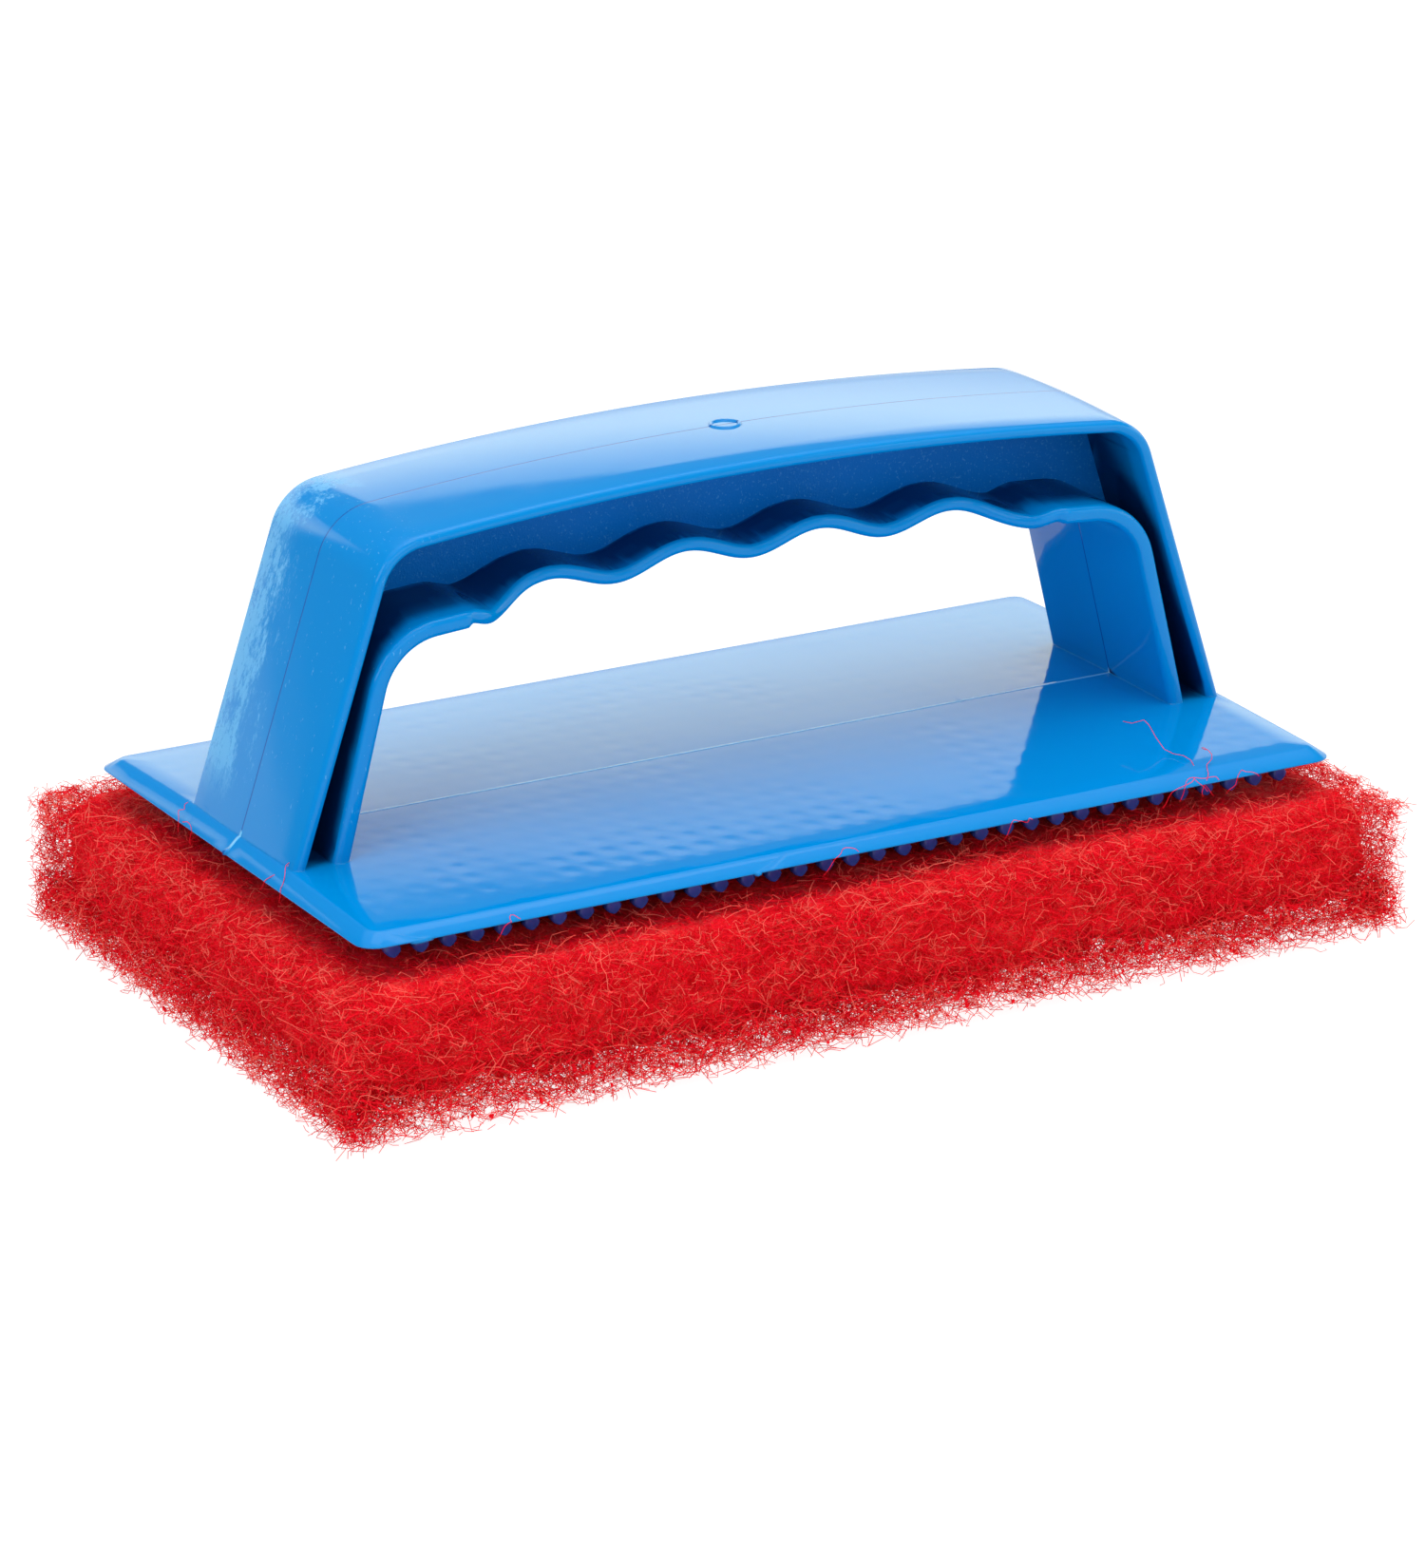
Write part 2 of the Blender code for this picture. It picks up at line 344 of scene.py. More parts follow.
# %% Plate
def round_rectangle(half_x, half_y, radius, z_at, corner=6, along=(24, 14)):
    """Points round a rectangle with round corners, anticlockwise, its sides divided."""
    points = []
    signs = ((1, 1), (-1, 1), (-1, -1), (1, -1))
    for turn, (sx, sy) in enumerate(signs):
        centre = Vector((sx * (half_x - radius), sy * (half_y - radius)))
        for k in range(corner + 1):
            angle = math.pi / 2 * (turn + k / corner)
            points.append(centre + radius * Vector((math.cos(angle), math.sin(angle))))
        nx, ny = signs[(turn + 1) % 4]
        after = Vector((nx * (half_x - radius), ny * (half_y - radius)))
        end = after + radius * Vector((math.cos(angle), math.sin(angle)))
        start, steps = points[-1], along[turn % 2]
        points += [start.lerp(end, k / steps) for k in range(1, steps)]
    return [(p.x, p.y, z_at(p.y)) for p in points]


def loft(rings, material_index=0):
    """A closed shell through rings of equal length, with its two ends capped."""
    bm = bmesh.new()
    loops = [[bm.verts.new(point) for point in ring] for ring in rings]
    count = len(rings[0])
    for low, high in zip(loops, loops[1:]):
        for i in range(count):
            j = (i + 1) % count
            bm.faces.new((low[i], low[j], high[j], high[i]))
    bm.faces.new(loops[0])
    bm.faces.new(loops[-1])
    for face in bm.faces:
        face.material_index = material_index
    bmesh.ops.recalc_face_normals(bm, faces=bm.faces)
    return bm


def new_piece(name, bm, *materials):
    mesh = bpy.data.meshes.new(name)
    bm.to_mesh(mesh)
    bm.free()
    for material in materials:
        mesh.materials.append(material)
    return linked(name, mesh)


def evaluated_mesh(piece):
    """The piece as its modifiers leave it, as a plain mesh."""
    graph = bpy.context.evaluated_depsgraph_get()
    return bpy.data.meshes.new_from_object(piece.evaluated_get(graph))


def triangles(piece):
    return sum(len(p.vertices) - 2 for p in piece.data.polygons)


def bow(y):
    """How far the plate's top sags at a distance from the parting line, where it is creased."""
    part = abs(y) / PLATE_HALF_Y
    return -PLATE_BOW * (0.35 * part + 0.65 * part**2)


def plate_rings():
    under = [(0.5, 0.0), (0.15, 0.05), (0.0, 0.25), (0.05, 0.45)]
    bevel, thick = PLATE_BEVEL / MM, PLATE_THICK / MM
    slope = [(bevel - 0.45, 2.30), (bevel - 0.15, 2.50)]
    flat = (6, 14, 26, 38)
    top = [(inset, thick) for inset in (bevel + 0.25, *flat)]
    rings = []
    for inset, rise in [*((inset, 0) for inset in reversed(flat)), *under, *slope, *top]:
        radius = max(0.4, 3.2 - 0.6 * min(inset, 3)) * MM
        base = PLATE_UNDER + rise * MM

        def height(y, base=base, rise=rise):
            return base + bow(y) * (rise / thick)

        rings.append(
            round_rectangle(PLATE_HALF_X - inset * MM, PLATE_HALF_Y - inset * MM, radius, height)
        )
    return rings


plate = new_piece("holder_shell", loft(plate_rings()), blue_moulding, spark_texture)
print("plate faces", len(plate.data.polygons))


# %% [markdown]
# ## Handle
# In section the handle is an I: a wide outer flange, a web, and an inner flange that the fingers
# meet. Each flange is one path swept with a rounded section. A leg leans in, turns through a
# shoulder arc and becomes the long shallow arc of the top. The inner path carries four finger
# hollows, and its flange narrows between the legs.

# %% Paths of the handle
def arch(foot, lean, height, top_radius, shoulder, steps):
    """An arch's points, left foot to right foot, above the plate's top."""
    centre_z = height - top_radius
    up = Vector((-math.sin(lean), math.cos(lean)))
    inward = Vector((-math.cos(lean), -math.sin(lean)))
    start = Vector((foot, -centre_z)) + shoulder * inward
    b = start.dot(up)
    rise = -b + math.sqrt(b * b - start.length_squared + (top_radius - shoulder) ** 2)
    bend = start + rise * up + Vector((0, centre_z))
    end = math.atan2(bend.y - centre_z, bend.x)
    leg, curve, top = steps
    half = [Vector((foot, 0)) + up * (-EMBED + (rise + EMBED) * k / leg) for k in range(leg)]
    for k in range(curve):
        angle = lean + (end - lean) * k / curve
        half.append(bend + shoulder * Vector((math.cos(angle), math.sin(angle))))
    for k in range(top + 1):
        angle = end + (math.pi / 2 - end) * k / top
        half.append(Vector((0, centre_z)) + top_radius * Vector((math.cos(angle), math.sin(angle))))
    return [Vector((-p.x, p.y)) for p in half] + list(reversed(half[:-1]))


def outward(path, i):
    along = (path[min(i + 1, len(path) - 1)] - path[max(i - 1, 0)]).normalized()
    return Vector((-along.y, along.x))


INNER_HEIGHT = 33.0 * MM
OUTER_WALL = 2.3 * MM
INNER_WALL = 2.1 * MM
outer_path = arch(PLATE_HALF_X - 2.4 * MM, math.radians(18.2), 48.9 * MM, 0.540, 9 * MM,
                  (10, 16, 60))  # fmt: skip
inner_path = arch(PLATE_HALF_X - 11.1 * MM, math.radians(14.3), INNER_HEIGHT, 0.700, 9.5 * MM,
                  (10, 16, 110))  # fmt: skip
print("path points", len(outer_path), len(inner_path))


# %% Finger hollows
def smooth(low, high, value):
    part = min(1.0, max(0.0, (value - low) / (high - low)))
    return part * part * (3 - 2 * part)


def finger_wave(point):
    """How far the grip's underside drops below the plain arc at a point of the path."""
    if point.y < INNER_HEIGHT / 2:
        return 0.0
    if abs(point.x) <= GRIP_REACH:
        return FINGER_DEPTH * math.cos(2 * math.pi * point.x / FINGER_PITCH)
    return FINGER_DEPTH * (1 - smooth(GRIP_REACH, GRIP_REACH + 5 * MM, abs(point.x)))


def flange_half(point):
    """Half the inner flange's width: full on the legs, narrow along the grip."""
    if point.y < INNER_HEIGHT / 2:
        return HANDLE_HALF
    taper = smooth(GRIP_REACH - 9 * MM, GRIP_REACH + 4.5 * MM, abs(point.x))
    step = smooth(GRIP_REACH + 4.0 * MM, GRIP_REACH + 4.9 * MM, abs(point.x))
    return GRIP_HALF + (HANDLE_HALF - GRIP_HALF) * (0.9 * taper + 0.1 * step)


inner_path = [Vector((p.x, p.y - finger_wave(p))) for p in inner_path]
print("lowest crest of the grip", round(min(p.y for p in inner_path if abs(p.x) < 0.04) / MM, 2))


# %% Sweep the flanges
def flange_section(half, wall, crown, corner=0.9 * MM, arc=5, across=8):
    """Points round a flange's section, as (out, across): a crowned face and round edges."""
    ring = []
    for out, side, turn in ((0, 1, 0), (-wall, 1, 1), (-wall, -1, 2), (0, -1, 3)):
        centre = Vector((out + (corner if out else -corner), side * (half - corner)))
        for k in range(arc + 1):
            angle = math.pi / 2 * (turn + k / arc)
            ring.append(centre + corner * Vector((math.cos(angle), math.sin(angle))))
        if turn in (1, 3):
            last, side_end = ring[-1], -side * (half - corner)
            ring += [Vector((last.x, last.y + (side_end - last.y) * k / across))
                     for k in range(1, across)]  # fmt: skip
    sag = [crown * (p.y / half) ** 2 if p.x > -wall / 2 else 0.0 for p in ring]
    return [(p.x - s, p.y) for p, s in zip(ring, sag)]


def sweep_flange(path, wall, half_at, crown=0.0, face_out=0.0, extra=None):
    rings = []
    for i, point in enumerate(path):
        normal = outward(path, i)
        thick = wall + (extra(point) if extra else 0.0)
        ring = []
        for out, across in flange_section(half_at(point), thick, crown):
            place = point + normal * (out + face_out)
            ring.append((place.x, across, PLATE_TOP + place.y))
        rings.append(ring)
    return loft(rings)


def leg_step(point):
    """The legs' inner flange is a little thicker than the grip's."""
    return 0.5 * MM * smooth(GRIP_REACH + 3.6 * MM, GRIP_REACH + 5.0 * MM, abs(point.x))


outer_flange = new_piece(
    "outer_flange", sweep_flange(outer_path, OUTER_WALL, lambda p: HANDLE_HALF, 0.45 * MM),
    blue_moulding, spark_texture,
)  # fmt: skip
inner_flange = new_piece(
    "inner_flange", sweep_flange(inner_path, INNER_WALL, flange_half, 0.0, INNER_WALL, leg_step),
    blue_moulding, spark_texture,
)  # fmt: skip
print("flange faces", len(outer_flange.data.polygons), len(inner_flange.data.polygons))


# %% Web between the flanges
def evenly(path, count):
    """The same path as count points spaced evenly along it."""
    far = [0.0]
    for a, b in zip(path, path[1:]):
        far.append(far[-1] + (b - a).length)
    spaced, i = [], 0
    for k in range(count):
        want = far[-1] * k / (count - 1)
        while i < len(path) - 2 and far[i + 1] < want:
            i += 1
        spaced.append(path[i].lerp(path[i + 1], (want - far[i]) / (far[i + 1] - far[i])))
    return spaced


def web_rings():
    low = [p + outward(inner_path, i) * INNER_WALL / 2 for i, p in enumerate(inner_path)]
    high = [p - outward(outer_path, i) * OUTER_WALL / 2 for i, p in enumerate(outer_path)]
    rings = []
    for a, b in zip(evenly(low, 160), evenly(high, 160)):
        corners = ((a, -1), (b, -1), (b, 1), (a, 1))
        rings.append([(p.x, side * WEB_THICK / 2, PLATE_TOP + p.y) for p, side in corners])
    return rings


web = new_piece("web", loft(web_rings(), 1), blue_moulding, spark_texture)
print("web faces", len(web.data.polygons))


# %% [markdown]
# ## Moulding marks
# Plastic went into the mould through a gate at the top of the handle, and where it was cut off a
# low almond-shaped ring is left. Where the mould's halves don't quite close, plastic creeps out
# as thin flash: a nub on the left end's bevel and two chips under the front edge. The ring is a
# small section swept round a closed path. The others are low lumps half sunk in the plate.

# %% Gate mark
def closed_sweep(path, section):
    """A closed tube round a closed path. Each section point is (outwards, up)."""
    bm = bmesh.new()
    rings = []
    for i, point in enumerate(path):
        along = (path[(i + 1) % len(path)] - path[i - 1]).normalized()
        out = Vector((along.y, -along.x, 0))
        rings.append([bm.verts.new(point + out * a + Vector((0, 0, b))) for a, b in section])
    for i, ring in enumerate(rings):
        after = rings[(i + 1) % len(rings)]
        for k in range(len(ring)):
            m = (k + 1) % len(ring)
            bm.faces.new((ring[k], ring[m], after[m], after[k]))
    bmesh.ops.recalc_face_normals(bm, faces=bm.faces)
    return bm


def gate_mark():
    half_long, half_wide, count = 2.2 * MM, 1.9 * MM, 48
    path = []
    for k in range(count):
        turn = 2 * math.pi * k / count
        x = half_long * math.cos(turn)
        y = half_wide * math.sin(turn) * abs(math.sin(turn)) ** 0.25
        path.append(Vector((0.9 * MM + x, y, holder_high.z - 0.25 * MM)))
    section = [(-0.30, 0), (0.42, 0), (0.30, 0.36), (0.12, 0.48), (-0.06, 0.48), (-0.20, 0.38)]
    return closed_sweep(path, [(a * MM, b * MM) for a, b in section])


def lump(place, size):
    """A low round lump, for a nub or a chip of flash."""
    bm = bmesh.new()
    bmesh.ops.create_icosphere(bm, subdivisions=3, radius=1)
    for vert in bm.verts:
        vert.co *= 1 + 0.18 * noise.noise(vert.co * 2.3 + Vector(place) * 900)
        vert.co = Vector(place) + Vector(c * h for c, h in zip(vert.co, size))
    return bm


LEFT, FRONT = -PLATE_HALF_X, -PLATE_HALF_Y
FLASH = {
    "end_nub": ((LEFT + 0.5 * MM, 0.1 * MM, PLATE_UNDER + 0.5 * MM), (0.9, 0.5, 0.55)),
    "front_chip": ((LEFT + 9 * MM, FRONT + 0.4 * MM, PLATE_UNDER), (1.9, 0.5, 0.4)),
    "front_barb": ((-18 * MM, FRONT + 0.3 * MM, PLATE_UNDER), (0.6, 0.5, 0.35)),
}
marks = [new_piece("gate_mark", gate_mark(), blue_moulding, spark_texture)]
for mark_name, (mark_place, mark_size) in FLASH.items():
    bump_mesh = lump(mark_place, [c * MM for c in mark_size])
    marks.append(new_piece(mark_name, bump_mesh, blue_moulding, spark_texture))
print("moulding marks", [mark.name for mark in marks])

# %% [markdown]
# ## One moulding
# The real holder is one piece of plastic, so the plate, flanges, web and marks are joined by
# Boolean unions into one closed skin. The creases stay sharp in the mesh; the finish rounds them.

# %% Join the holder
def join_into(body, piece):
    union = body.modifiers.new("union", "BOOLEAN")
    union.operation = "UNION"
    union.solver = "EXACT"
    union.object = piece
    joined = evaluated_mesh(body)
    body.modifiers.clear()
    body.data = joined
    bpy.data.objects.remove(piece, do_unlink=True)


for member in (outer_flange, inner_flange, web, *marks):
    join_into(plate, member)
holder_shell = plate
holder_shell.data.shade_smooth()
holder_shell.data.set_sharp_from_angle(angle=math.radians(40))
print("holder shell triangles", triangles(holder_shell))


# %% Cavity map
# The cavity attribute drives the painted shade in the moulding's deep slots.
GOLDEN_TURN = 2.39996


def mark_cavities(piece, rays=28, reach=24 * MM):
    """Stores at each point how much of its outlook the piece itself blocks, from 0 to 1."""
    tree = BVHTree.FromObject(piece, bpy.context.evaluated_depsgraph_get())
    fan = []
    for k in range(rays):
        up = math.sqrt(1 - (k + 0.5) / rays)
        turn = k * GOLDEN_TURN
        flat = math.sqrt(1 - up * up)
        fan.append(Vector((flat * math.cos(turn), flat * math.sin(turn), up)))
    blocked = []
    for vert in piece.data.vertices:
        face = vert.normal.to_track_quat("Z", "Y")
        start = vert.co + vert.normal * 0.9 * MM
        hits = sum(tree.ray_cast(start, face @ ray, reach)[0] is not None for ray in fan)
        blocked.append(hits / rays)
    piece.data.attributes.new("cavity", "FLOAT", "POINT").data.foreach_set("value", blocked)
    return blocked


blocked = mark_cavities(holder_shell)
print("cavity points", len(blocked), "mean", round(sum(blocked) / len(blocked), 2))

# %% [markdown]
# ## Anchor studs
# Hundreds of small anchors under the plate hook into the pad. They repeat on a grid, so one
# small anchor is modelled and Geometry Nodes place it. The tree takes the pitch and the counts
# as named inputs, and ends by making the copies real.


# %% One anchor
def make_anchor():
    """A stud, hanging from z = 0: a neck, two upswept barbs and a round head."""
    neck, half_depth = 0.5 * MM, 0.85 * MM
    side = [(neck * 1.6, 0.1 * MM), (neck, -0.6 * MM), (neck, -1.6 * MM), (1.4 * MM, -1.3 * MM),
            (0.95 * MM, -1.9 * MM), (1.2 * MM, -2.3 * MM), (1.1 * MM, -2.8 * MM),
            (0.7 * MM, -3.25 * MM), (0.2 * MM, -STUD_LENGTH)]  # fmt: skip
    outline = side + [(-x, z) for x, z in reversed(side)]
    rings = []
    for y, shrink in ((-1, 0.72), (-0.72, 1.0), (0.72, 1.0), (1, 0.72)):
        rings.append([(x * shrink, y * half_depth, z if z > 0 else z * (0.9 + 0.1 * shrink))
                      for x, z in outline])  # fmt: skip
    return loft(rings)


# The studs are the plate's own plastic. Their dark navy is painted shade from the plate above them,
# varied a little at random.
def make_stud_painted_shade_blue():
    finish = Finish("stud_blue")
    tint = finish.noise(180, 2.0)
    colour = finish.mix(finish.remap(tint, 0.3, 0.7), (0.01, 0.05, 0.30, 1), (0.02, 0.08, 0.42, 1))
    height = finish.times(finish.noise(1500, 2.0), 0.01 * MM)
    return finish.set(
        Base_Color=colour, Roughness=0.22, Normal=finish.bump(height), IOR=1.5,
        Subsurface_Weight=0.15, Subsurface_Radius=(0.2, 0.5, 1.0), Subsurface_Scale=0.6 * MM,
    )  # fmt: skip


stud_blue = make_stud_painted_shade_blue()
anchor = new_piece("anchor", make_anchor(), stud_blue)
print("anchor faces", len(anchor.data.polygons))


# %% Geometry Nodes helpers
class NodeTree(Graph):
    """A Geometry Nodes tree with named inputs."""

    def __init__(self, name):
        super().__init__(bpy.data.node_groups.new(name, "GeometryNodeTree"))
        self.tree.is_modifier = True
        self.group = None
        geometry = "NodeSocketGeometry"
        self.socket("Geometry", geometry)
        self.tree.interface.new_socket("Geometry", in_out="OUTPUT", socket_type=geometry)

    def socket(self, name, kind, default=None):
        made = self.tree.interface.new_socket(name, in_out="INPUT", socket_type=kind)
        if default is not None:
            made.default_value = default
        return made

    def value(self, name, default):
        kind = {int: "NodeSocketInt", float: "NodeSocketFloat"}.get(type(default))
        return self.socket(name, kind, default)

    def given(self, name):
        if self.group is None:
            self.group = self.tree.nodes.new("NodeGroupInput")
        return self.group.outputs[name]

    def add(self, kind, inputs=(), **settings):
        return add_node(self.tree, kind, inputs, settings)

    def vector(self, operation, a, b):
        return self.add("ShaderNodeVectorMath", {0: a, 1: b}, operation=operation).outputs[0]

    def scale(self, a, by):
        inputs = {0: a, "Scale": by}
        return self.add("ShaderNodeVectorMath", inputs, operation="SCALE").outputs[0]

    def random(self, seed):
        """A random number from 0 to 1 for each element."""
        return self.add("FunctionNodeRandomValue", {"Seed": seed}, data_type="FLOAT").outputs[1]

    def each_curve(self, field, kind="FLOAT"):
        """The field read once for each curve, so that all its points agree."""
        settings = {"data_type": kind, "domain": "CURVE"}
        return self.add("GeometryNodeFieldOnDomain", {0: field}, **settings).outputs[0]

    def fade(self, value, reach, most):
        """Falls from most to nothing as the value rises from nothing to reach."""
        inputs = {0: value, 1: 0.0, 2: reach, 3: most, 4: 0.0}
        return self.add("ShaderNodeMapRange", inputs).outputs[0]

    def scattered(self):
        """Points on the carrier's faces, at the tree's own density and seed."""
        inputs = {"Mesh": self.given("Geometry")}
        inputs.update({name: self.given(name) for name in ("Density", "Seed")})
        return self.add("GeometryNodeDistributePointsOnFaces", inputs).outputs

    def combine(self, x=0.0, y=0.0, z=0.0):
        return self.add("ShaderNodeCombineXYZ", {0: x, 1: y, 2: z}).outputs[0]

    def finish(self, geometry, material):
        real = self.add("GeometryNodeRealizeInstances", {0: geometry}).outputs[0]
        set_material = self.add("GeometryNodeSetMaterial", {0: real, "Material": material})
        end = self.tree.nodes.new("NodeGroupOutput")
        self.tree.links.new(set_material.outputs[0], end.inputs[0])


def baked(name, carrier, tree, values, material):
    """Runs a tree on a carrier mesh and keeps the result as a plain mesh."""
    piece = linked(name, carrier)
    modifier = piece.modifiers.new("nodes", "NODES")
    modifier.node_group = tree.tree
    for item in tree.tree.interface.items_tree:
        if item.item_type == "SOCKET" and item.in_out == "INPUT" and item.name in values:
            modifier[item.identifier] = values[item.name]
    mesh = evaluated_mesh(piece)
    piece.modifiers.clear()
    piece.data = mesh
    mesh.materials.clear()
    mesh.materials.append(material)
    return piece


# %% The stud field
STUD_COLUMNS = 35
STUD_ROWS = 19


def stud_field_tree():
    """A grid of anchors hung under the bowed plate."""
    nodes = NodeTree("stud_field")
    nodes.value("Columns", STUD_COLUMNS)
    nodes.value("Rows", STUD_ROWS)
    nodes.value("Pitch along", STUD_PITCH_X)
    nodes.value("Pitch across", STUD_PITCH_Y)
    nodes.value("Plate underside", PLATE_UNDER)
    nodes.socket("Anchor", "NodeSocketObject")
    columns, rows = nodes.given("Columns"), nodes.given("Rows")
    length = nodes.times(nodes.minus(columns, 1), nodes.given("Pitch along"))
    width = nodes.times(nodes.minus(rows, 1), nodes.given("Pitch across"))
    grid = nodes.add("GeometryNodeMeshGrid", {0: length, 1: width, 2: columns, 3: rows})
    lift = nodes.combine(z=nodes.given("Plate underside"))
    placed = nodes.add("GeometryNodeSetPosition", {0: grid.outputs[0], "Offset": lift})
    points = nodes.add("GeometryNodeMeshToPoints", {0: placed.outputs[0]})
    source = nodes.add("GeometryNodeObjectInfo", {0: nodes.given("Anchor")})
    copies = nodes.add(
        "GeometryNodeInstanceOnPoints",
        {"Points": points.outputs[0], "Instance": source.outputs["Geometry"]},
    )
    nodes.finish(copies.outputs[0], stud_blue)
    return nodes


empty_carrier = bpy.data.meshes.new("carrier")
studs = baked("anchor_studs", empty_carrier, stud_field_tree(), {"Anchor": anchor}, stud_blue)
bpy.data.objects.remove(anchor, do_unlink=True)
studs.data.shade_smooth()
studs.data.set_sharp_from_angle(angle=math.radians(50))
print("studs", triangles(studs), "triangles")


# %% [markdown]
# ## Pad core
# The pad is a lofty web of curled fibres stuck together with resin. Close packed inside and
# loose outside, it can't be drawn fibre by fibre to its middle. So a lumpy core, a few
# millimetres smaller than the pad, stands for the dense inside, and real fibres cover it. Light
# wanders deep into the web and comes out redder, which the subsurface part of the finish does.

# %% Core finish
RED_DEEP = (0.74, 0.001, 0.008, 1)
RED = (0.95, 0.004, 0.020, 1)
RED_LIT = (0.97, 0.050, 0.045, 1)


def make_core_red():
    finish = Finish("pad_core_red")
    drift = finish.add("TexNoise", {"Vector": finish.position(), "Scale": 420.0, "Detail": 2.0})
    drift = finish.vector("SUBTRACT", {0: drift.outputs["Color"], 1: (0.5, 0.5, 0.5)})
    drift = finish.vector("SCALE", {0: drift, "Scale": 3.2 * MM})
    curled = finish.vector("ADD", {0: finish.position(), 1: drift})
    strands = []
    for cells in (520.0, 860.0, 1300.0):
        wall = finish.add("TexVoronoi", {"Vector": curled, "Scale": cells},
                          feature="DISTANCE_TO_EDGE").outputs["Distance"]  # fmt: skip
        strands.append(finish.remap(wall, 0.02, 0.10, 1.0, 0.0))
    web = finish.math("MAXIMUM", strands[0], finish.math("MAXIMUM", strands[1], strands[2]))
    patch = finish.remap(finish.noise(260, 3.0, 0.6), 0.35, 0.68)
    lit = finish.times(web, patch)
    ground = finish.mix(finish.remap(finish.noise(330, 2.0), 0.35, 0.65), RED_DEEP, RED)
    colour = finish.mix(lit, ground, RED_LIT)
    height = finish.times(web, 0.20 * MM)
    return finish.set(
        Base_Color=colour, Roughness=0.8, Normal=finish.bump(height), IOR=1.4,
        Specular_IOR_Level=0.2, Subsurface_Weight=0.6, Subsurface_Radius=(1.0, 0.05, 0.06),
        Subsurface_Scale=2.5 * MM,
    )  # fmt: skip


core_red = make_core_red()
print("finish", core_red.name)


# %% Core shape
PAD_HALF_X = (pad_high.x - pad_low.x) / 2
PAD_HALF_Y = (pad_high.y - pad_low.y) / 2
PAD_TOP = pad_high.z
CORE_STEP = 1.25 * MM
CORE_INSET = Vector((4.4 * MM, 3.9 * MM, 0))
CORE_LOW = 4.6 * MM
CORE_HIGH = PAD_TOP - 1.0 * MM
CORE_CORNER = 5.5 * MM


def rim_droop(x, y):
    """How far the pad's top falls away near its own edges."""
    inside = min(PAD_HALF_X - abs(x), PAD_HALF_Y - abs(y))
    return 2.6 * MM * (1 - smooth(0, 8 * MM, inside))


def pressed(x, y):
    """How far the studs press the pad's top down, under the plate and just past its edge."""
    past = max(abs(x) - PLATE_HALF_X, abs(y) - PLATE_HALF_Y)
    return 1.3 * MM * (1 - smooth(-1 * MM, 5 * MM, past))


def make_core():
    half = Vector((PAD_HALF_X, PAD_HALF_Y, (CORE_HIGH - CORE_LOW) / 2)) - CORE_INSET
    centre = Vector((0, 0, (CORE_HIGH + CORE_LOW) / 2))
    bm = bmesh.new()
    bmesh.ops.create_cube(bm, size=2)
    for axis in range(3):
        along = [e for e in bm.edges
                 if abs(abs(e.verts[0].co[axis] - e.verts[1].co[axis]) - 2) < 1e-4]  # fmt: skip
        cuts = int(2 * half[axis] / CORE_STEP)
        bmesh.ops.subdivide_edges(bm, edges=along, cuts=cuts, use_grid_fill=True)
    for vert in bm.verts:
        place = Vector(c * h for c, h in zip(vert.co, half))
        inner = Vector(
            max(-h + CORE_CORNER, min(h - CORE_CORNER, c)) for c, h in zip(place, half)
        )
        away = (place - inner).normalized()
        spot = inner + away * CORE_CORNER + centre
        loose = 1.4 if away.z < 0.5 else 0.5
        spot += away * noise.fractal(spot * 230, 1.0, 2.0, 3) * loose * MM
        if away.z < -0.2:
            spot.z += (1.1 + noise.fractal(spot * 420, 0.8, 2.0, 4) * 3.4) * MM * -away.z
        if away.z > 0.3:
            spot.z -= rim_droop(spot.x, spot.y) * 0.7 + pressed(spot.x, spot.y)
        vert.co = spot
    bmesh.ops.recalc_face_normals(bm, faces=bm.faces)
    return bm


core = new_piece("pad_core", make_core(), core_red)
core.data.shade_smooth()
print("core triangles", triangles(core))

# %% [markdown]
# ## Fibres
# Each fibre is a thin curled thread. Geometry Nodes scatter start points through the pad's outer
# few millimetres, lay a straight thread at each, bend it with noise that differs for each
# thread, trim what sticks out too far, and give it a three-sided skin. The web is laid down flat
# when it is made, so most threads run level, and the cut sides show their ends.


# %% Fibre finish
def make_fibre_red():
    finish = Finish("pad_fibre_red")
    tint = finish.add("Attribute", attribute_name="fibre_tint").outputs["Fac"]
    # Each thread takes one colour from its random number: a darker red, the plain red, and, at the
    # top of the range, a pale pink that is a painted highlight.
    dark = finish.mix(finish.remap(tint, 0.0, 0.25), RED_DEEP, RED)
    colour = finish.mix(finish.remap(tint, 0.70, 1.0), dark, (1.0, 0.165, 0.125, 1))
    return finish.set(Base_Color=colour, Roughness=0.5, IOR=1.45, Specular_IOR_Level=0.10)


fibre_red = make_fibre_red()
print("finish", fibre_red.name)


# %% The fibre tree
POINTS_A_FIBRE = 6
SIDES_A_FIBRE = 3


